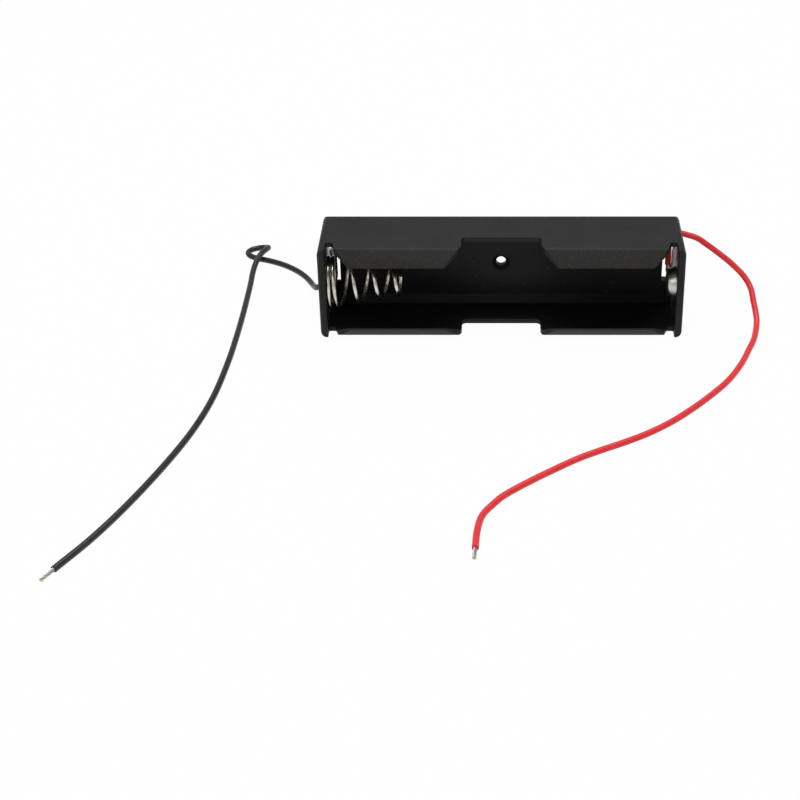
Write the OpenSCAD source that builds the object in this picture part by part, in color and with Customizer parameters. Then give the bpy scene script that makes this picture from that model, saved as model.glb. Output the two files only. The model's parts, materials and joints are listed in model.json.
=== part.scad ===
// Holder for one cylindrical lithium cell, with two wire leads.
// The long side lies along X. The mouth faces -Y and the mounting base faces +Y.
// The holder stands on its long side wall at Z = 0.

/* [Cell] */

// Largest diameter of the cell
cell_d = 18.4; // [17.6:0.1:19.2]
// Length of the cell
cell_l = 65.2; // [63:0.1:70]
// Play across the cell in its bay
cell_play = 0.1; // [0.05:0.05:0.4]

/* [Housing] */

// Thickness of the long side walls
wall_t = 1.1; // [1:0.05:1.6]
// Thickness of the floor
floor_t = 2.3; // [2.2:0.1:3]
// Thickness of the end walls behind the contact plates
end_t = 1.0; // [0.9:0.1:1.6]
// Height of the end walls above the floor
end_h = 15.2; // [14.6:0.1:15.4]
// Distance from the cell bay to the outer face of the snap lips
lip_off = 1.68; // [1.4:0.02:1.9]
// Thickness of the snap lips at their free edge
lip_edge_t = 0.35; // [0.3:0.05:0.6]
// Height of the sloping snap lips above the side walls
lip_rise = 3.0; // [2.6:0.1:3.4]
// Rounding where a side wall bends into its snap lip
bend_r = 1.2; // [0.6:0.1:2]
// Rounding of the long edges of the base
base_r = 0.8; // [0.4:0.1:1.1]
// Rounding of the upright corners, seen from the mouth
corner_r = 1.45; // [1:0.05:1.6]
// Chamfer between the floor and the side walls
cradle_c = 1.5; // [0.8:0.1:2]

/* [Cut-outs in the side walls] */

// Width of the finger notch in the middle
thumb_w = 17; // [14:0.5:20]
// Height of the side wall under the finger notch, above the floor
thumb_h = 8.8; // [7.5:0.1:10]
// Length of the slope at the middle end of a lip
lip_slope_l = 3.7; // [3:0.1:5]
// Height of the slope at the middle end of a lip
lip_slope_h = 3.6; // [3:0.1:4]
// Width of the gap between a lip and the end wall
end_gap_w = 1.45; // [1.2:0.05:2]
// Height of the upper side wall under its end gaps, above the floor
end_gap_h = 11.3; // [10:0.1:12]
// Height of the lower side wall under its end gaps, above the floor
low_gap_h = 12.35; // [10:0.05:12.6]
// Length of the slope at the outer end of a lip
tab_slope_l = 3.95; // [3:0.05:4.5]

/* [Contacts] */

// Thickness of the contact plates
plate_t = 0.35; // [0.25:0.05:0.5]
// Play round a contact plate in the housing
plate_play = 0.1; // [0.05:0.05:0.3]
// Width of the solder tab under a contact plate
tab_w = 5; // [4:0.5:6]
// Radius of the pressed dome at its foot
dome_r = 3.5; // [3:0.1:4]
// Radius of the flat top of the dome
dome_top_r = 2.5; // [2:0.1:2.6]
// Height of the dome above its plate
dome_h = 1.9; // [1.2:0.1:2.2]

/* [Spring] */

// Length of the spring squeezed behind a cell
spring_short = 7.8; // [7:0.1:9]
// Free length of the spring
spring_free = 16.45; // [14:0.05:18]
// Diameter of the spring wire
spring_wire_d = 0.85; // [0.6:0.05:1]
// Radius of the wide coil on the plate, at the middle of the wire
spring_foot_r = 5.25; // [4.5:0.05:6]
// Radius of the narrow coil at the cell, at the middle of the wire
spring_nose_r = 2.75; // [2:0.05:3.5]

/* [Screw hole] */

// Diameter of the fixing screw hole
screw_d = 2.2; // [2:0.1:3]
// Diameter of the screw head recess
head_d = 3.9; // [3.4:0.1:5]

/* [Leads] */

// Outside diameter of the leads
lead_d = 1.3; // [1:0.1:1.4]
// Diameter of the bare stranded ends
strand_d = 0.8; // [0.5:0.1:0.9]
// Bare length at the free end of the positive lead
red_bare = 3; // [2:0.5:6]
// Bare length at the free end of the negative lead
black_bare = 3.5; // [2:0.5:6]

/* [Hidden] */

$fn = 48;

// The bay and the outside sizes follow the cell
bay_w = cell_d + cell_play;
bay_r = bay_w / 2;
wide = bay_w + 2 * wall_t;
mid_z = wide / 2;
long = cell_l + dome_h + spring_short + 2 * (plate_t + end_t);
half_l = long / 2;
lip_bend = bay_r * (sqrt(2) - 1) - wall_t + lip_off * sqrt(2);
deep = floor_t + cell_d / 2 + lip_bend + lip_rise;

// Levels along Y: the base, the floor, the cell axis, the bend and the lip edge
base_y = deep / 2;
floor_y = base_y - floor_t;
axis_y = floor_y - cell_d / 2;
bend_y = axis_y - lip_bend;
lip_y = bend_y - lip_rise;
rim_y = floor_y - end_h;
thumb_y = floor_y - thumb_h;

// A lip keeps the wall's thickness at its knee and tapers to its free edge
lip_tip_r = 0.45 * lip_edge_t;
lip_top = lip_rise + lip_tip_r * (sqrt(2) - 1);
lip_top_y = bend_y - lip_top;
lip_edge = lip_edge_t / sqrt(2);
knee_y = bend_y + wall_t * (sqrt(2) - 1);
knee_r = 1.2;

// End walls: a bead at the rim holds the contact plate
bead_t = 0.6;
bead_h = 1.2;
end_in = half_l - end_t;
bead_in = end_in - bead_t;
seat_lap = 0.2;
lip_over = 0.02;
tab_lean = 0.6;
tab_r = 0.8;
lip_end_r = 2.2;
plate_in = end_in - plate_t;
plate_w = bay_w - 3 * plate_play;
plate_y = rim_y + bead_h + plate_play;

// Slots through the floor for the solder tabs, and the wire ways under it
slot_l = 2.4;
slot_w = 9;
way_l = 2.8;
way_h = 1.5;
way_y = base_y - way_h;
outlet_w = 2.9;
outlet_off = 7.55;
outlet_z = mid_z + outlet_off;
tab_end_y = base_y - 0.3;
cut = 1;

// Pressed dome
dome_round = 0.5;
head_h = (head_d - screw_d) / 2;

// Spring: turns count from the first lowest point of the coil
spring_play = 0.02;
turn_a = -0.6;
turn_cone = 0.8;
turn_nose = 4;
turn_b = 4.6;
turn_open = 0.4;
turn_shut = 4;
turn_ease = 0.15;
spring_steps = 18;
spring_sides = 10;
foot_x = -plate_in + spring_wire_d / 2 + spring_play;
shut_pitch = spring_wire_d + spring_play;
spring_climb = spring_free - shut_pitch * (1 + turn_b - turn_a);

// Leads
lead_r = lead_d / 2;
lead_sides = 8;
lead_x = plate_in - lead_r - 0.05;
lead_y = base_y - 0.8;
lead_start = 1.05;
root_d = 0.6;
root_l = 1.5;
solder_r = 0.65;
solder_l = 1.7;
ease_x = lead_x + 0.35;
wall_x = half_l - 0.8;
out_x = half_l + 0.2;

// Middle of each lead, from its solder joint to its free end
red_route = [
    [lead_x, lead_y, mid_z - lead_start],
    [lead_x, lead_y, mid_z + 1.15],
    [lead_x, lead_y, outlet_z - 3.9],
    [ease_x, lead_y, outlet_z - 2.5],
    [wall_x, lead_y, outlet_z - 1.5],
    [out_x, lead_y, outlet_z - 1.2],
    [39.9, 9, 16.6],
    [42.8, 8.8, 15.7],
    [44.8, 8.6, 14.4],
    [46.9, 8.3, 12.9],
    [48.6, 7.9, 11.7],
    [50.2, 7.4, 10.5],
    [51.7, 6.7, 9.3],
    [53, 5.8, 8.2],
    [54.1, 4.6, 6.9],
    [54.7, 3.2, 5.8],
    [55, 1.3, 4.3],
    [55.3, -0.7, 2.9],
    [55.4, -2.9, 1.7],
    [55, -5.5, 0.9],
    [53.9, -10, lead_r],
    [52.3, -14.4, lead_r],
    [50.7, -18.7, lead_r],
    [48.8, -22.9, lead_r],
    [46.6, -27, lead_r],
    [43.9, -31, lead_r],
    [39.3, -36.9, lead_r],
    [34, -42.8, lead_r],
    [28.9, -47.3, lead_r],
    [24, -50.7, lead_r],
    [19.2, -53.6, lead_r],
    [14.5, -56.7, lead_r],
    [9.8, -60.5, lead_r],
    [5.2, -64.5, lead_r],
    [0.7, -68.8, lead_r],
    [-1.5, -71.8, lead_r],
    [-3.6, -75.6, lead_r],
    [-4.5, -80.3, lead_r],
    [-4.8, -85.7, lead_r]
];
black_route = [
    [-lead_x, lead_y, mid_z + lead_start],
    [-lead_x, lead_y, mid_z - 1.15],
    [-lead_x, lead_y, wide - outlet_z + 3.9],
    [-ease_x, lead_y, wide - outlet_z + 2.5],
    [-wall_x, lead_y, wide - outlet_z + 1.5],
    [-out_x, lead_y + 0.1, wide - outlet_z + 1.1],
    [-40.2, 9.5, 3.5],
    [-41, 10.4, 2.8],
    [-41.5, 11.8, 2],
    [-42.1, 13.8, 1.3],
    [-43, 16.4, 0.8],
    [-44.2, 19, lead_r],
    [-46, 21.7, lead_r],
    [-48.3, 24.2, lead_r],
    [-51, 26.4, lead_r],
    [-54, 28.1, lead_r],
    [-56.6, 29.2, lead_r],
    [-58.6, 30.6, lead_r],
    [-59.3, 32.4, lead_r],
    [-58.5, 34, lead_r],
    [-56.8, 34.6, 0.8],
    [-55.2, 33.8, 1.3],
    [-54.5, 32.2, 2],
    [-54.9, 30.2, 2.4],
    [-55.7, 28.1, 2.4],
    [-56.4, 25.7, 1.9],
    [-56.8, 22.9, 1.3],
    [-56.9, 19.5, 0.8],
    [-56.8, 15.5, lead_r],
    [-56.7, 4, lead_r],
    [-56.8, -8, lead_r],
    [-57.2, -20, lead_r],
    [-58.3, -34, lead_r],
    [-60.5, -46.5, lead_r],
    [-64, -59, lead_r],
    [-68.5, -72, lead_r],
    [-73, -82.8, lead_r],
    [-77.8, -92.1, lead_r]
];

// Outline through corners [x, y, radius], each rounded by its own radius
function unit(v) = v / norm(v);
function corner(a, b, c) =
    let (
        p = [b[0], b[1]],
        u = unit([a[0], a[1]] - p),
        v = unit([c[0], c[1]] - p),
        half = acos(u * v) / 2,
        m = p + unit(u + v) * b[2] / sin(half),
        from = p + u * b[2] / tan(half) - m,
        to = p + v * b[2] / tan(half) - m,
        start = atan2(from[1], from[0]),
        sweep = (atan2(to[1], to[0]) - start + 540) % 360 - 180,
        n = max(2, ceil(abs(sweep) / 15))
    )
    b[2] == 0 ? [p] : [
        for (i = [0:n])
            let (t = start + sweep * i / n)
            m + b[2] * [cos(t), sin(t)]
    ];
function rounded(q) = [
    for (i = [0:len(q) - 1])
        each corner(q[(i + len(q) - 1) % len(q)], q[i], q[(i + 1) % len(q)])
];

// Tube of n sides swept along points, with its own frame carried along them
function along(p, i) = unit(p[min(i + 1, len(p) - 1)] - p[max(i - 1, 0)]);
function square_to(n, t) = unit(n - (n * t) * t);
function carried(p, n, i = 0) = i == len(p) ? [] :
    let (m = square_to(n, along(p, i)))
    concat([m], carried(p, m, i + 1));
function rings(p, start, r, sides) =
    let (frames = carried(p, start))
    [
        for (i = [0:len(p) - 1])
            let (
                n = frames[i],
                b = cross(along(p, i), n)
            )
            for (j = [0:sides - 1])
                p[i] + r * (cos(360 * j / sides) * n + sin(360 * j / sides) * b)
    ];
function skin(count, sides) = [
    [for (j = [0:sides - 1]) j],
    [for (j = [sides - 1:-1:0]) (count - 1) * sides + j],
    for (i = [0:count - 2])
        for (j = [0:sides - 1])
            let (k = (j + 1) % sides)
            each [
                [i * sides + j, (i + 1) * sides + j, (i + 1) * sides + k],
                [i * sides + j, (i + 1) * sides + k, i * sides + k]
            ]
];
module tube(p, start, d, sides) {
    polyhedron(rings(p, start, d / 2, sides), skin(len(p), sides));
}

// Spring wire: closed coils at the foot and the nose, and an even pitch between
// them. The share u of the open turns gives the share of the climb
function ramp(v) = max(v, 0) * max(v, 0);
function climbed(u, e) =
    (ramp(u) - ramp(u - e) - ramp(u - 1 + e) + ramp(u - 1)) / (2 * e * (1 - e));
function spring_r(t) =
    let (w = min(max((t - turn_cone) / (turn_nose - turn_cone), 0), 1))
    spring_foot_r + (spring_nose_r - spring_foot_r) * w;
function spring_x(t) =
    foot_x + shut_pitch * (t - turn_a)
    + spring_climb * climbed((t - turn_open) / (turn_shut - turn_open), turn_ease);
function spring_at(t) = [
    spring_x(t),
    axis_y + spring_r(t) * cos(270 + 360 * t),
    mid_z + spring_r(t) * sin(270 + 360 * t)
];

// A flat outline in Y and Z, extruded along X between x0 and x1
module along_x(x0, x1) {
    translate([x0, 0, 0])
        rotate([90, 0, 90])
            linear_extrude(x1 - x0)
                children();
}

// A flat outline in X and Z, extruded along Y between y0 and y1
module along_y(y0, y1) {
    translate([0, y1, 0])
        rotate([90, 0, 0])
            linear_extrude(y1 - y0)
                children();
}

// The same piece at both ends, the second turned half round about the Y direction
module both_ends() {
    children();
    translate([0, 0, wide])
        rotate([0, 180, 0])
            children();
}

// Corners of one half of the cross-section, from the base round the lip to the floor
function shell_half() = [
    [base_y, 0, base_r],
    [bend_y, 0, bend_r],
    [lip_top_y, lip_top, lip_tip_r],
    [lip_top_y + lip_edge, lip_top + lip_edge, lip_tip_r],
    [knee_y, wall_t, knee_r],
    [floor_y - cradle_c, wall_t, 0],
    [floor_y, wall_t + cradle_c, 0]
];

// Corners of one half of an end wall's cross-section
end_half = [
    [base_y, 0, base_r],
    [rim_y, 0, 0]
];

// A closed outline from one half of its corners; the other half is flipped and moved
module whole_outline(half, flip, move) {
    other = [
        for (i = [len(half) - 1:-1:0])
            [flip[0] * half[i][0], flip[1] * half[i][1] + move, half[i][2]]
    ];
    polygon(rounded(concat(half, other)));
}

// Corners of one half of a side wall, from its end to the middle
function side_half(gap_h) =
    let (
        gap_y = floor_y - gap_h,
        tab_x = bead_in - end_gap_w
    )
    [
        [half_l, base_y, base_r],
        [half_l, rim_y, 0.7],
        [bead_in, rim_y, 0.3],
        [bead_in, gap_y, 0.4],
        [tab_x, gap_y, 0.4],
        [tab_x - tab_lean, bend_y + 0.2, tab_r],
        [tab_x - tab_slope_l, lip_y - lip_over, lip_end_r],
        [thumb_w / 2 + lip_slope_l, lip_y - lip_over, 1.5],
        [thumb_w / 2, lip_y + lip_slope_h, 2.5],
        [thumb_w / 2, thumb_y, 1]
    ];

// One side wall with its cut-outs, as a slab between two heights
module side_slab(gap_h, z0, z1) {
    translate([0, 0, z0])
        linear_extrude(z1 - z0)
            whole_outline(side_half(gap_h), [-1, 1], 0);
}

// Outline seen from the mouth
module top_outline() {
    polygon(rounded([
        [-half_l, 0, corner_r],
        [half_l, 0, corner_r],
        [half_l, wide, corner_r],
        [-half_l, wide, corner_r]
    ]));
}

// What is cut at one end: seat of the contact plate, tab slot, wire way and outlet
module end_cuts() {
    translate([bead_in - seat_lap, rim_y + bead_h, wall_t])
        cube([bead_t + seat_lap, floor_y - rim_y - bead_h, bay_w]);
    translate([end_in - slot_l, floor_y - cut, mid_z - slot_w / 2])
        cube([slot_l, floor_t + 2 * cut, slot_w]);
    translate([end_in - way_l, way_y, mid_z - slot_w / 2])
        cube([way_l, way_h + cut, slot_w / 2 + outlet_z - mid_z]);
    translate([end_in - cut, way_y, outlet_z - outlet_w])
        cube([end_t + 2 * cut, way_h + cut, outlet_w]);
}

// Countersunk hole in the middle of the floor
module screw_hole() {
    translate([0, base_y + cut, mid_z])
        rotate([90, 0, 0])
            cylinder(d = screw_d, h = floor_t + 2 * cut);
    translate([0, floor_y + head_h, mid_z])
        rotate([90, 0, 0])
            cylinder(d1 = screw_d, d2 = head_d, h = head_h);
}

// Moulded housing with its snap lips
module housing() {
    color([0.1, 0.1, 0.105])
        difference() {
            intersection() {
                union() {
                    along_x(-bead_in, bead_in)
                        whole_outline(shell_half(), [1, -1], wide);
                    for (x = [-half_l, bead_in])
                        along_x(x, x + end_t + bead_t)
                            whole_outline(end_half, [1, -1], wide);
                }
                along_y(lip_y - cut, base_y + cut)
                    top_outline();
                union() {
                    side_slab(low_gap_h, 0, mid_z);
                    side_slab(end_gap_h, mid_z, wide);
                }
            }
            both_ends()
                end_cuts();
            screw_hole();
        }
}

// Sheet contact against an end wall, with its solder tab through the floor
module contact_sheet() {
    translate([plate_in, plate_y, mid_z - plate_w / 2])
        cube([plate_t, floor_y - plate_y, plate_w]);
    translate([plate_in, floor_y - plate_t, mid_z - tab_w / 2])
        cube([plate_t, tab_end_y - floor_y + plate_t, tab_w]);
}

module negative_plate() {
    color([0.78, 0.77, 0.74])
        mirror([1, 0, 0])
            contact_sheet();
}

// Half section of the pressed dome, from its foot to its flat top
module dome_section() {
    polygon(rounded([
        [0, dome_h - plate_t, 0],
        [dome_top_r, dome_h - plate_t, dome_round - plate_t / 2],
        [dome_r - plate_t, -plate_t, 0],
        [dome_r, -plate_t, 0],
        [dome_r, 0, 0],
        [dome_top_r + plate_t, dome_h, dome_round],
        [0, dome_h, 0]
    ]));
}

module positive_plate() {
    color([0.8, 0.78, 0.75]) {
        difference() {
            contact_sheet();
            translate([plate_in - cut, axis_y, mid_z])
                rotate([0, 90, 0])
                    cylinder(r = dome_r - plate_t / 2, h = plate_t + 2 * cut);
        }
        translate([plate_in, axis_y, mid_z])
            rotate([0, -90, 0])
                rotate_extrude()
                    dome_section();
    }
}

// Conical contact spring, welded to the negative plate by its foot coil
module negative_spring() {
    count = ceil((turn_b - turn_a) * spring_steps);
    path = [for (i = [0:count]) spring_at(turn_a + (turn_b - turn_a) * i / count)];
    color([0.82, 0.8, 0.77])
        tube(path, [1, 0, 0], spring_wire_d, spring_sides);
}

module black_lead() {
    color([0.09, 0.09, 0.095])
        tube(black_route, [1, 0, 0], lead_d, lead_sides);
}

module red_lead() {
    color([0.86, 0.16, 0.16])
        tube(red_route, [1, 0, 0], lead_d, lead_sides);
}

// Bare strands that carry straight on from the free end of a lead
module bare_end(route, l) {
    last = route[len(route) - 1];
    run = last - route[len(route) - 2];
    color([0.8, 0.78, 0.74])
        translate(last)
            rotate([0, 90, atan2(run[1], run[0])])
                cylinder(d = strand_d, h = l);
}

module black_tip() {
    bare_end(black_route, black_bare);
}

module red_tip() {
    bare_end(red_route, red_bare);
}

// Bare strands of a lead inside its solder joint
module lead_root() {
    color([0.8, 0.78, 0.74])
        translate([lead_x, lead_y, mid_z - lead_start - root_l])
            cylinder(d = root_d, h = root_l);
}

// Solder bead round the bare strands, flat against the tab and the lead
module solder_bead() {
    color([0.74, 0.74, 0.73])
        difference() {
            translate([lead_x + 0.2, lead_y, mid_z - lead_start - solder_l])
                cylinder(r = solder_r, h = solder_l);
            translate([plate_in, lead_y - lead_d, mid_z - slot_w])
                cube([lead_d, 2 * lead_d, 2 * slot_w]);
            translate([lead_x, lead_y, mid_z - lead_start - root_l])
                cylinder(d = root_d, h = root_l + cut);
        }
}

// The joint of the black lead is the red one turned half round
module turned() {
    translate([0, 0, wide])
        rotate([0, 180, 0])
            children();
}

module red_root() {
    lead_root();
}

module red_solder() {
    solder_bead();
}

module black_root() {
    turned()
        lead_root();
}

module black_solder() {
    turned()
        solder_bead();
}

housing();
negative_plate();
negative_spring();
positive_plate();
black_lead();
black_tip();
black_root();
black_solder();
red_lead();
red_tip();
red_root();
red_solder();
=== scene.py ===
# %% [markdown]
# # A holder for one cylindrical cell
# The holder is one black moulding with a nickel-plated contact at each end, a
# conical spring, and a red and a black lead. The solids arrive with their true
# sizes, so this lesson adds what the eye needs: soft edges, finishes, leads
# that lie like real wire, light and a camera. Everything is in metres.

# %% Load the holder and note its box
import json
import math

import bmesh
import bpy
from mathutils import Matrix, Vector

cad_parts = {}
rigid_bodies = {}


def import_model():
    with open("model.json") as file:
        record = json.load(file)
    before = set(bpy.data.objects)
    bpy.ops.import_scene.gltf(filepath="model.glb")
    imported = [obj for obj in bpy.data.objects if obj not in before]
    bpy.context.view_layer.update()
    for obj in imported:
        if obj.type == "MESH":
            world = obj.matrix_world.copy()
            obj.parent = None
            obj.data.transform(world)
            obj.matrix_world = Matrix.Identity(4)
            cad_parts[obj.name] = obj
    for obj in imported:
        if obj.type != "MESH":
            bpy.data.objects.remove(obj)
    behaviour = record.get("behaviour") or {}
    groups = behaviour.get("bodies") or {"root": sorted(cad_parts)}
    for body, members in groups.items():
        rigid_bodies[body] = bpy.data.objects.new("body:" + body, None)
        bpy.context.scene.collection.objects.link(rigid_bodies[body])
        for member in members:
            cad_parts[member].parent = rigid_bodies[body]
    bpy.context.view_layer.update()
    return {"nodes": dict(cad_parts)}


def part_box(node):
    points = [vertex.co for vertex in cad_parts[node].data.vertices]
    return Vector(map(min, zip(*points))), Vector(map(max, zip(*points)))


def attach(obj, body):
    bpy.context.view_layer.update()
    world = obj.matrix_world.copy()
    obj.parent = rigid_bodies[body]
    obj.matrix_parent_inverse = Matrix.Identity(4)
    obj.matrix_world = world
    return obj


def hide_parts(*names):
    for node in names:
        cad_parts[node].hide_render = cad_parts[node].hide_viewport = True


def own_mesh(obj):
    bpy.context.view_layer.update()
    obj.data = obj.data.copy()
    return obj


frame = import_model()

MM = 0.001
HOUSING_LOW, HOUSING_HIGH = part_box("housing")

# %% [markdown]
# ## Camera
# A product shot is taken from about a third of a metre away with a long lens,
# looking down at the table. A camera can be aimed with angles, with a Track To
# constraint, or by writing its axes. Writing the axes keeps the small turn and
# lean of a real tripod as plain numbers, so that way is used here. The shift
# slides the picture sideways without turning the camera.

# %% Aim the camera
TILT = math.radians(30.94)
TURN = math.radians(-0.44)
LEAN = math.radians(-0.196)
CAMERA_PLACE = Vector([v * MM for v in (-1.41, -333.5, 179.6)])


def camera_axes(tilt, turn, lean):
    ahead = Vector((
        math.sin(turn) * math.cos(tilt), math.cos(turn) * math.cos(tilt), -math.sin(tilt)))
    right = Vector((math.cos(turn), -math.sin(turn), 0))
    up = right.cross(ahead)
    leaned = right * math.cos(lean) + up * math.sin(lean)
    return leaned, up * math.cos(lean) - right * math.sin(lean), ahead


right, up, ahead = camera_axes(TILT, TURN, LEAN)
camera = bpy.data.objects.new("shot_camera", bpy.data.cameras.new("shot_camera"))
bpy.context.collection.objects.link(camera)
camera.matrix_world = Matrix.Translation(CAMERA_PLACE) @ Matrix(
    (right, up, -ahead)).transposed().to_4x4()
camera.data.sensor_width = 36
camera.data.lens = 77.76
camera.data.shift_x = -0.104
camera.data.clip_start = 0.01
camera.data.clip_end = 20
bpy.context.scene.camera = camera
print("camera height, mm:", round(CAMERA_PLACE.z / MM, 1))

# %% [markdown]
# ## One small language for nodes
# Materials and Geometry Nodes are both graphs. Adding every node by hand makes
# long scripts, so one class wraps an output and lets `+`, `-`, `*` and `/` add
# the Math nodes. Every other node comes from a single method that takes the
# node's type, its settings and what goes into its sockets.

# %% Sums on sockets
class Value:
    """One output of a node; sums on it add Math nodes to its graph."""

    def __init__(self, graph, socket):
        self.graph, self.socket = graph, socket

    def math(self, operation, a, b=0.0):
        return self.graph.put("ShaderNodeMath", {"operation": operation}, {0: a, 1: b})

    def __add__(self, other):
        return self.math("ADD", self, other)

    def __radd__(self, other):
        return self.math("ADD", other, self)

    def __sub__(self, other):
        return self.math("SUBTRACT", self, other)

    def __rsub__(self, other):
        return self.math("SUBTRACT", other, self)

    def __mul__(self, other):
        return self.math("MULTIPLY", self, other)

    def __rmul__(self, other):
        return self.math("MULTIPLY", other, self)

    def __truediv__(self, other):
        return self.math("DIVIDE", self, other)

    def cos(self):
        return self.math("COSINE", self)

    def sin(self):
        return self.math("SINE", self)

    def unsigned(self):
        return self.math("ABSOLUTE", self)

    def low(self, other):
        return self.math("MINIMUM", self, other)

    def high(self, other):
        return self.math("MAXIMUM", self, other)


class Graph:
    """A node tree with one way of adding nodes."""

    def __init__(self, tree):
        self.tree = tree
        tree.nodes.clear()

    def put(self, kind, settings=None, inputs=None, out=0):
        node = self.tree.nodes.new(kind)
        for name, value in (settings or {}).items():
            if name == "stops":
                ramp = node.color_ramp.elements
                while len(ramp) < len(value):
                    ramp.new(0.5)
                for stop, (place, shade) in zip(ramp, value):
                    stop.position, stop.color = place, (shade, shade, shade, 1)
            else:
                setattr(node, name, value)
        for name, value in (inputs or {}).items():
            if isinstance(value, Value):
                self.tree.links.new(value.socket, node.inputs[name])
            else:
                node.inputs[name].default_value = value
        return Value(self, node.outputs[out]) if len(node.outputs) else node


print("node helper ready")

# %% [markdown]
# ## Finishes
# All finishes share one start: a Principled shader on Object coordinates. The
# coordinates are in metres, so a noise scale of 5000 gives grains of about a
# fifth of a millimetre. A finish is then a colour, a roughness and a bump.

# %% A finish with its own coordinates
class Finish(Graph):
    """A material graph that starts with the piece's own coordinates."""

    def __init__(self, name):
        self.material = bpy.data.materials.new(name)
        self.material.use_nodes = True
        super().__init__(self.material.node_tree)
        self.place = self.put("ShaderNodeTexCoord", out=3)
        parts = self.put("ShaderNodeSeparateXYZ", inputs={0: self.place}).socket.node
        self.x, self.y, self.z = (Value(self, s) for s in parts.outputs)

    def noise(self, scale, detail=3.0, rough=0.5, stretch=(1, 1, 1)):
        spot = self.put("ShaderNodeMapping", inputs={"Vector": self.place, "Scale": stretch})
        return self.put("ShaderNodeTexNoise", {"noise_dimensions": "3D"}, {
            "Vector": spot, "Scale": scale, "Detail": detail, "Roughness": rough})

    def spread(self, value, low, high, to_low, to_high):
        return self.put("ShaderNodeMapRange", {"clamp": True}, {
            "Value": value, "From Min": low, "From Max": high, "To Min": to_low, "To Max": to_high})

    def blend(self, share, a, b):
        return self.put("ShaderNodeMix", {"data_type": "RGBA"}, {0: share, 6: a, 7: b}, out=2)

    def bump(self, height, strength, reach):
        return self.put("ShaderNodeBump", inputs={
            "Height": height, "Strength": strength, "Distance": reach})

    def finish(self, **sockets):
        names = {key.replace("_", " "): value for key, value in sockets.items()}
        shader = self.put("ShaderNodeBsdfPrincipled", inputs=names)
        self.put("ShaderNodeOutputMaterial", inputs={"Surface": shader})
        return self.material


def shade(red, green, blue):
    """A colour given as it looks on screen, 0 to 255, turned into linear light."""
    return tuple(((v / 255 + 0.055) / 1.055) ** 2.4 if v > 10 else v / 3294.6
                 for v in (red, green, blue)) + (1,)


print("mid grey is", round(shade(128, 128, 128)[0], 3), "in linear light")

# %% [markdown]
# ### Black moulding
# The housing is a moulding with a satin skin. Its outer walls look cool grey
# under the lamp, the bay is painted nearly black as painted shade for the dark
# cavity, and the lips have a coarser grain and a trace of handling dust that
# turns them warmer. Masks along the piece's own axes keep the wall, the lip and
# the painted bay shade in one material, so no seam shows where a wall bends
# into its lip.

# %% Mix the black plastic
LIP_RISE = 3.0 * MM


def black_moulding():
    f = Finish("black_moulding")
    bend = HOUSING_LOW.y + LIP_RISE
    half_wide = (HOUSING_HIGH.z - HOUSING_LOW.z) / 2
    off_mid = (f.z - half_wide).unsigned()
    between_ends = f.spread(f.x.unsigned(), 36.6 * MM, 37.2 * MM, 1.0, 0.0)
    on_lip = f.spread(f.y, bend - 0.6 * MM, bend + 0.9 * MM, 1.0, 0.0) * between_ends
    # Painted shade: the bay's inner faces lie in the cavity's shade, so this mask marks them for
    # darkening.
    painted_bay_shade = (f.spread(off_mid, half_wide - 1.1 * MM, half_wide - 0.9 * MM, 1.0, 0.0)
              * f.spread(f.y, bend + 0.2 * MM, bend + 1.2 * MM, 0.0, 1.0)
              * f.spread(f.y, 7.9 * MM, 8.3 * MM, 1.0, 0.0) * between_ends)
    fine = f.noise(5200, 4.0, 0.6)
    coarse = f.noise(2300, 3.0, 0.6)
    cloud = f.noise(90, 3.0, 0.55)
    wall = f.blend(f.spread(cloud, 0.35, 0.65, 0.0, 1.0), shade(24, 24, 26), shade(29, 29, 32))
    lip = f.blend(f.spread(coarse, 0.4, 0.64, 0.0, 1.0), shade(30, 28, 26), shade(42, 40, 36))
    dust = f.spread(f.noise(2600, 2.0, 0.4), 0.74, 0.765, 0.0, 1.0)
    skin = f.blend(on_lip, wall, lip)
    # Painted shade: the bay is coloured nearly black for the shade inside the cavity.
    skin = f.blend(painted_bay_shade, skin, shade(15, 15, 16))
    skin = f.blend(dust * 0.5, skin, shade(120, 120, 122))
    grain = fine * 0.5 + coarse * on_lip
    return f.finish(
        Base_Color=skin,
        Roughness=f.spread(fine, 0.3, 0.7, 0.46, 0.6) + on_lip * 0.1,
        Specular_IOR_Level=0.25,
        Normal=f.bump(grain, 0.3, 0.03 * MM))


BLACK_MOULDING = black_moulding()
print("made", BLACK_MOULDING.name)

# %% [markdown]
# ### Plated metal
# The contacts are nickel-plated steel: a slightly warm mirror broken by fine
# rolling lines that run across the strip. A noise stretched along one axis
# gives such lines; it drives roughness and a very shallow bump.

# %% Mix the plated metals
def plated(name, tone, rough, lines, depth):
    f = Finish(name)
    streak = f.noise(900, 3.0, 0.6, stretch=lines)
    smudge = f.noise(220, 3.0, 0.6)
    dull = shade(*(int(v * 0.86) for v in tone))
    return f.finish(
        Base_Color=f.blend(f.spread(smudge, 0.4, 0.65, 0.0, 1.0), shade(*tone), dull),
        Metallic=1.0,
        Roughness=f.spread(streak, 0.3, 0.7, rough - 0.07, rough + 0.1),
        Normal=f.bump(streak, 0.25, depth * MM))


SHEET_NICKEL = plated("sheet_nickel", (222, 216, 206), 0.3, (1, 6, 0.5), 0.01)
WIRE_NICKEL = plated("wire_nickel", (232, 226, 214), 0.24, (1, 1, 1), 0.004)
TINNED = plated("tinned_strands", (214, 208, 198), 0.36, (1, 1, 1), 0.01)
SOLDER = plated("solder", (196, 196, 194), 0.3, (1, 1, 1), 0.01)
print("made", SHEET_NICKEL.name, WIRE_NICKEL.name, TINNED.name, SOLDER.name)

# %% [markdown]
# ### Lead insulation
# Soft PVC has an even colour, a broad gloss and a skin that is never quite
# round. A low bump with long waves is enough to break up its highlight.

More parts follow.
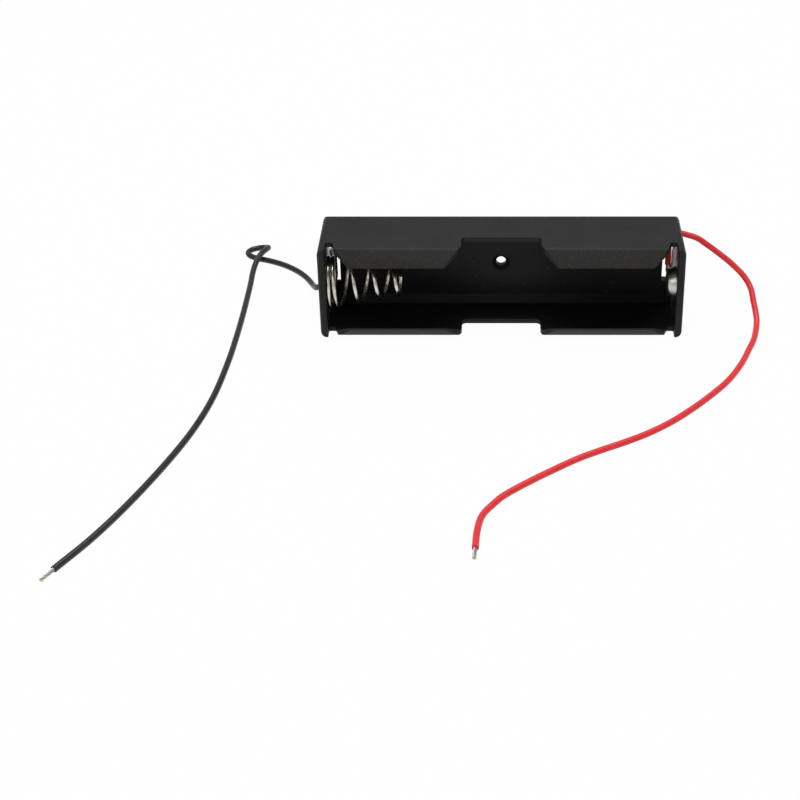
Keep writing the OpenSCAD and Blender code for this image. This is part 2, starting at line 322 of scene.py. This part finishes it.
# %% Mix the two insulations
def insulation(name, tone, deep, rough):
    f = Finish(name)
    wave = f.noise(700, 2.0, 0.5)
    fleck = f.noise(3200, 2.0, 0.5)
    return f.finish(
        Base_Color=f.blend(f.spread(wave, 0.35, 0.65, 0.0, 1.0), shade(*tone), shade(*deep)),
        Roughness=f.spread(fleck, 0.3, 0.7, rough - 0.05, rough + 0.07),
        Specular_IOR_Level=0.5,
        Normal=f.bump(wave * 0.7 + fleck * 0.3, 0.2, 0.02 * MM))


RED_PVC = insulation("red_insulation", (240, 48, 54), (228, 40, 46), 0.38)
BLACK_PVC = insulation("black_insulation", (34, 34, 37), (27, 27, 29), 0.36)
print("made", RED_PVC.name, BLACK_PVC.name)

# %% [markdown]
# ## Geometry Nodes helper
# Each tree is built here with named inputs. The modifier's inputs are set by
# the socket's identifier, then the evaluated result is copied into a plain
# mesh, so that what is kept has no modifier left on it.

# %% Trees with named inputs
class Recipe(Graph):
    """A Geometry Nodes tree with named inputs for its sizes."""

    def __init__(self, name, sizes):
        tree = bpy.data.node_groups.new(name, "GeometryNodeTree")
        super().__init__(tree)
        tree.interface.new_socket("Geometry", in_out="OUTPUT", socket_type="NodeSocketGeometry")
        tree.interface.new_socket("Geometry", in_out="INPUT", socket_type="NodeSocketGeometry")
        self.ids = {
            n: tree.interface.new_socket(n, in_out="INPUT", socket_type="NodeSocketFloat").identifier
            for n in sizes}
        sockets = self.put("NodeGroupInput").socket.node.outputs
        self.start = Value(self, sockets[0])
        self.size = {n: Value(self, sockets[n]) for n in sizes}

    def done(self, shape, material):
        shape = self.put("GeometryNodeRealizeInstances", inputs={0: shape})
        shape = self.put("GeometryNodeSetShadeSmooth", inputs={0: shape})
        shape = self.put("GeometryNodeSetMaterial", inputs={0: shape, "Material": material})
        self.put("NodeGroupOutput", inputs={0: shape})
        return self

    def wire(self, line, radius, sides):
        ring = self.put("GeometryNodeCurvePrimitiveCircle", {"mode": "RADIUS"}, {
            "Resolution": sides, "Radius": radius})
        return self.put("GeometryNodeCurveToMesh", inputs={
            "Curve": line, "Profile Curve": ring, "Fill Caps": True})


def bake(name, recipe, sizes, points=((0, 0, 0),)):
    """Runs a recipe on a line of points and keeps the result as a plain mesh."""
    line = bpy.data.meshes.new(name)
    line.from_pydata([tuple(p) for p in points], [(i, i + 1) for i in range(len(points) - 1)], [])
    holder = bpy.data.objects.new(name + ".line", line)
    bpy.context.collection.objects.link(holder)
    modifier = holder.modifiers.new("recipe", "NODES")
    modifier.node_group = recipe.tree
    for key, value in sizes.items():
        modifier[recipe.ids[key]] = float(value)
    ready = holder.evaluated_get(bpy.context.evaluated_depsgraph_get())
    mesh = bpy.data.meshes.new_from_object(ready)
    bpy.data.objects.remove(holder)
    piece = bpy.data.objects.new(name, mesh)
    bpy.context.collection.objects.link(piece)
    print(name, "has", len(mesh.polygons), "faces")
    return piece


# %% [markdown]
# ## Leads
# A lead is a soft wire of fixed length. It leaves its outlet straight, drops
# to the table under its own weight and lies there in loose curves. The black
# one makes a small loop behind the holder and passes over itself in a low
# hump. A Catmull-Rom curve runs through the listed points and is held at
# one radius above the table.

# %% Points along the leads
LEAD_D = 1.3
LEAD_R = LEAD_D / 2
RED_ROUTE = [
    (36.75, 9, 9.3), (36.75, 9, 11.5), (36.75, 9, 14), (37.1, 9, 15.4), (38, 9, 16.4),
    (39, 9, 16.7),
    (39.9, 9, 16.6), (42.8, 8.8, 15.7), (44.8, 8.6, 14.4), (46.9, 8.3, 12.9), (48.6, 7.9, 11.7),
    (50.2, 7.4, 10.5), (51.7, 6.7, 9.3), (53, 5.8, 8.2), (54.1, 4.6, 6.9), (54.7, 3.2, 5.8),
    (55, 1.3, 4.3), (55.3, -0.7, 2.9), (55.4, -2.9, 1.7), (55, -5.5, 0.9), (53.9, -10, LEAD_R),
    (52.3, -14.4, LEAD_R), (50.7, -18.7, LEAD_R), (48.8, -22.9, LEAD_R), (46.6, -27, LEAD_R),
    (43.9, -31, LEAD_R), (39.3, -36.9, LEAD_R), (34, -42.8, LEAD_R), (28.9, -47.3, LEAD_R),
    (24, -50.7, LEAD_R), (19.2, -53.6, LEAD_R), (14.5, -56.7, LEAD_R), (9.8, -60.5, LEAD_R),
    (5.2, -64.5, LEAD_R), (0.7, -68.8, LEAD_R), (-1.5, -71.8, LEAD_R), (-3.6, -75.6, LEAD_R),
    (-4.5, -80.3, LEAD_R), (-4.8, -85.7, LEAD_R)]
BLACK_ROUTE = [
    (-36.75, 9, 11.4), (-36.75, 9, 9.2), (-36.75, 9, 6.7), (-37.1, 9, 5.3), (-38, 9, 4.3),
    (-39, 9.1, 3.9), (-40.2, 9.5, 3.5), (-41, 10.4, 2.8), (-41.5, 11.8, 2), (-42.1, 13.8, 1.3),
    (-43, 16.4, 0.8), (-44.2, 19, LEAD_R), (-46, 21.7, LEAD_R), (-48.3, 24.2, LEAD_R),
    (-51, 26.4, LEAD_R), (-54, 28.1, LEAD_R), (-56.6, 29.2, LEAD_R), (-58.6, 30.6, LEAD_R),
    (-59.3, 32.4, LEAD_R), (-58.5, 34, LEAD_R), (-56.8, 34.6, 0.8), (-55.2, 33.8, 1.3),
    (-54.5, 32.2, 2), (-54.9, 30.2, 2.4), (-55.7, 28.1, 2.4), (-56.4, 25.7, 1.9),
    (-56.8, 22.9, 1.3),
    (-56.9, 19.5, 0.8), (-56.8, 15.5, LEAD_R), (-56.7, 4, LEAD_R), (-56.8, -8, LEAD_R),
    (-57.2, -20, LEAD_R), (-58.3, -34, LEAD_R), (-60.5, -46.5, LEAD_R), (-64, -59, LEAD_R),
    (-68.5, -72, LEAD_R), (-73, -82.8, LEAD_R), (-77.8, -92.1, LEAD_R)]


def flowing(route, steps=8):
    """A smooth line through the route, in metres, never lower than the table."""
    spots = [Vector(p) for p in route]
    spots = [spots[0] * 2 - spots[1]] + spots + [spots[-1] * 2 - spots[-2]]
    line = []
    for a, b, c, d in zip(spots, spots[1:], spots[2:], spots[3:]):
        for i in range(steps):
            t = i / steps
            line.append((2 * b + (c - a) * t + (2 * a - 5 * b + 4 * c - d) * t ** 2
                         + (3 * b - a - 3 * c + d) * t ** 3) / 2)
    line.append(spots[-2])
    return [Vector((p.x, p.y, max(p.z, LEAD_R))) * MM for p in line]


def length_of(line):
    return sum((b - a).length for a, b in zip(line, line[1:]))


RED_LINE, BLACK_LINE = flowing(RED_ROUTE), flowing(BLACK_ROUTE)
print("leads, mm:", round(length_of(RED_LINE) / MM, 1), round(length_of(BLACK_LINE) / MM, 1))

# %% [markdown]
# The sleeve is a circle swept along that line. The bare end is seven tinned
# strands laid round each other: one strand follows a helix, and five turned
# copies and a straight core complete the bundle.

# %% Recipes for the sleeve and the strands
def sleeve_recipe(material):
    r = Recipe("sleeve_" + material.name, ["Radius"])
    line = r.put("GeometryNodeMeshToCurve", inputs={0: r.start})
    return r.done(r.wire(line, r.size["Radius"], 24), material)


def strand_recipe(material):
    r = Recipe("strand_bundle", ["Length", "Lay radius", "Strand radius", "Turns"])
    along = r.put("GeometryNodeCurvePrimitiveLine", inputs={"End": (1, 0, 0)})
    along = r.put("GeometryNodeResampleCurve", inputs={"Curve": along, "Count": 48})
    share = r.put("GeometryNodeSplineParameter")
    angle = share * r.size["Turns"] * math.tau
    core = r.put("ShaderNodeCombineXYZ", inputs={0: share * r.size["Length"]})
    laid = r.put("ShaderNodeCombineXYZ", inputs={
        0: share * r.size["Length"],
        1: angle.cos() * r.size["Lay radius"],
        2: angle.sin() * r.size["Lay radius"]})
    strand, middle = (r.wire(r.put("GeometryNodeSetPosition", inputs={0: along, "Position": p}),
                             r.size["Strand radius"], 10) for p in (laid, core))
    copies = r.put("GeometryNodeMeshLine", inputs={"Count": 6, "Offset": (0, 0, 0)})
    turn = r.put("ShaderNodeCombineXYZ", inputs={0: r.put("GeometryNodeInputIndex") * (math.tau / 6)})
    ring = r.put("GeometryNodeInstanceOnPoints", inputs={
        "Points": copies, "Instance": strand, "Rotation": turn})
    both = r.put("GeometryNodeJoinGeometry")
    for shape in (ring, middle):
        r.tree.links.new(shape.socket, both.socket.node.inputs[0])
    return r.done(both, material)


STRANDS = strand_recipe(TINNED)
print("recipes ready")

# %% [markdown]
# The strands are made along X and then carried to the end of the sleeve, with
# the move written into the mesh, so that the piece's origin stays at zero.

# %% Lay both leads
LAY_R, STRAND_R, LAY_LENGTH = 0.26, 0.13, 6
RED_BARE, BLACK_BARE = 3.0, 3.5


def lead(name, line, finish, tip_node, bare):
    sleeve = bake(name + "_sleeve", sleeve_recipe(finish), {"Radius": LEAD_R * MM}, line)
    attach(sleeve, "holder")
    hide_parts(name)
    strands = bake(name + "_strands", STRANDS, {
        "Length": bare * MM, "Lay radius": LAY_R * MM, "Strand radius": STRAND_R * MM,
        "Turns": bare / LAY_LENGTH})
    run = line[-1] - line[-2]
    turned = run.to_track_quat("X", "Z").to_matrix().to_4x4()
    strands.data.transform(Matrix.Translation(line[-1]) @ turned)
    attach(strands, "holder")
    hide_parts(tip_node)


lead("red_lead", RED_LINE, RED_PVC, "red_tip", RED_BARE)
lead("black_lead", BLACK_LINE, BLACK_PVC, "black_tip", BLACK_BARE)
for side in ("red", "black"):
    for part, metal in (("_root", TINNED), ("_solder", SOLDER)):
        slots = frame["nodes"][side + part].data.materials
        slots.clear()
        slots.append(metal)
print("leads laid")

# %% [markdown]
# ## Housing and contact plates
# A solid straight from a modeller has edges with no width, and real light never
# finds them. A moulding always has small radii that catch a thin bright line.
# The solid could get them from a bevel in its shader or from real geometry;
# here a welded copy gets a Bevel modifier, which also holds up in close views.

# %% Soften the edges of a welded copy
WELD, FLAT, SHARP = 0.002 * MM, math.radians(0.6), math.radians(28)


def softened(node, name, material, radius, segments):
    piece = bpy.data.objects.new(name, frame["nodes"][node].data.copy())
    bpy.context.collection.objects.link(piece)
    mesh = bmesh.new()
    mesh.from_mesh(piece.data)
    bmesh.ops.remove_doubles(mesh, verts=mesh.verts, dist=WELD)
    bmesh.ops.dissolve_limit(mesh, angle_limit=FLAT, verts=mesh.verts, edges=mesh.edges)
    for face in mesh.faces:
        face.smooth = True
    mesh.to_mesh(piece.data)
    mesh.free()
    piece.data.materials.clear()
    piece.data.materials.append(material)
    bevel = piece.modifiers.new("soft_edges", "BEVEL")
    bevel.width = radius * MM
    bevel.segments = segments
    bevel.limit_method = "ANGLE"
    bevel.angle_limit = SHARP
    bevel.harden_normals = True
    bevel.use_clamp_overlap = True
    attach(piece, "holder")
    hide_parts(node)
    print(name, "from", len(piece.data.polygons), "faces")


softened("housing", "moulded_housing", BLACK_MOULDING, 0.15, 3)
softened("negative_plate", "negative_contact", SHEET_NICKEL, 0.05, 2)
softened("positive_plate", "positive_contact", SHEET_NICKEL, 0.05, 2)

# %% [markdown]
# ## Contact spring
# The spring is one wire wound into a cone: a closed foot coil welded to its
# plate, open turns that shrink towards the cell, and a closed coil at the nose.
# That is a rule, so a Geometry Nodes tree winds it. The share of the wire gives
# the turn, and the turn gives the radius and the climb. The open turns climb
# evenly, and two short parabolas ease them into the closed coils. When a cell
# goes in, the real coils close up towards the plate; here the spring is wound
# only at rest.

# %% Wind the spring
AXIS_Y, AXIS_Z = -1.7, 10.35
FOOT_X, SHUT_PITCH, CLIMB = -37.005, 0.87, 11.056


def spring_recipe(material):
    names = ["First turn", "Last turn", "Cone turn", "Nose turn", "Open turn", "Shut turn", "Ease",
             "Foot radius", "Nose radius", "Foot place", "Shut pitch", "Climb", "Wire radius"]
    r = Recipe("conical_spring", names)
    s = r.size

    def ramp(value):
        above = value.high(0.0)
        return above * above

    along = r.put("GeometryNodeCurvePrimitiveLine", inputs={"End": (1, 0, 0)})
    along = r.put("GeometryNodeResampleCurve", inputs={"Curve": along, "Count": 420})
    turned = (s["Last turn"] - s["First turn"]) * r.put("GeometryNodeSplineParameter")
    turn = s["First turn"] + turned
    cone = ((turn - s["Cone turn"]) / (s["Nose turn"] - s["Cone turn"])).high(0.0).low(1.0)
    radius = s["Foot radius"] + (s["Nose radius"] - s["Foot radius"]) * cone
    opened = (turn - s["Open turn"]) / (s["Shut turn"] - s["Open turn"])
    eased = (ramp(opened) - ramp(opened - s["Ease"]) - ramp(opened - 1.0 + s["Ease"])
             + ramp(opened - 1.0)) / (2.0 * s["Ease"] * (1.0 - s["Ease"]))
    angle = turn * math.tau - math.tau / 4
    spot = r.put("ShaderNodeCombineXYZ", inputs={
        0: s["Foot place"] + s["Shut pitch"] * turned + s["Climb"] * eased,
        1: angle.cos() * radius + AXIS_Y * MM,
        2: angle.sin() * radius + AXIS_Z * MM})
    line = r.put("GeometryNodeSetPosition", inputs={0: along, "Position": spot})
    return r.done(r.wire(line, s["Wire radius"], 16), material)


spring = bake("contact_spring", spring_recipe(WIRE_NICKEL), {
    "First turn": -0.6, "Last turn": 4.6, "Cone turn": 0.8, "Nose turn": 4, "Open turn": 0.4,
    "Shut turn": 4, "Ease": 0.15, "Foot radius": 5.25 * MM, "Nose radius": 2.75 * MM,
    "Foot place": FOOT_X * MM, "Shut pitch": SHUT_PITCH * MM, "Climb": CLIMB * MM,
    "Wire radius": 0.425 * MM})
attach(spring, "spring")
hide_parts("negative_spring")
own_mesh(spring)

# %% [markdown]
# ## Light and table
# A plain pale table, a big soft lamp overhead and a weak one at the front left
# light the holder. Light Path's ray kinds let the table and the room look white
# to the camera and pale to mirror-like metal, without more light on the piece.

# %% Light the table
def white_room():
    world = bpy.data.worlds.new("white_room")
    bpy.context.scene.world = world
    world.use_nodes = True
    g = Graph(world.node_tree)
    path = g.put("ShaderNodeLightPath").socket.node.outputs
    seen = Value(g, path["Is Camera Ray"]).high(Value(g, path["Is Transmission Ray"]))
    seen = seen.high(Value(g, path["Is Glossy Ray"]) * 0.4)
    level = seen.high(0.4)
    back = g.put("ShaderNodeBackground", inputs={"Color": (1, 1, 1, 1), "Strength": level})
    g.put("ShaderNodeOutputWorld", inputs={"Surface": back})


def white_table():
    f = Finish("white_table")
    path = f.put("ShaderNodeLightPath").socket.node.outputs
    seen = Value(f, path["Is Camera Ray"]).high(Value(f, path["Is Transmission Ray"]))
    seen = seen.high(Value(f, path["Is Glossy Ray"]) * 0.8)
    matt = f.put("ShaderNodeBsdfDiffuse", inputs={"Color": (0.8, 0.8, 0.8, 1)})
    glow = f.put("ShaderNodeEmission", inputs={"Color": (1, 1, 1, 1), "Strength": 1.0})
    both = f.put("ShaderNodeMixShader", inputs={0: seen * 0.97, 1: matt, 2: glow})
    f.put("ShaderNodeOutputMaterial", inputs={"Surface": both})
    return f.material


def lamp(name, place, size, power):
    light = bpy.data.lights.new(name, "AREA")
    light.shape, light.size, light.energy = "SQUARE", size, power
    thing = bpy.data.objects.new(name, light)
    bpy.context.collection.objects.link(thing)
    thing.location = place
    thing.rotation_euler = (-Vector(place)).to_track_quat("-Z", "Y").to_euler()


white_room()
TABLE_REACH, TABLE_TOP = 3, -2e-5
table = bpy.data.objects.new("table", bpy.data.meshes.new("table"))
bpy.context.collection.objects.link(table)
corners = [(x * TABLE_REACH, y * TABLE_REACH, TABLE_TOP)
           for x, y in ((-1, -1), (1, -1), (1, 1), (-1, 1))]
table.data.from_pydata(corners, [], [(0, 1, 2, 3)])
table.data.materials.append(white_table())
lamp("overhead_lamp", (0.0, 0.15, 0.9), 0.7, 6)
lamp("front_lamp", (-0.35, -0.8, 0.6), 0.5, 1.2)
bpy.context.scene.view_settings.view_transform = "Standard"
print("lit")
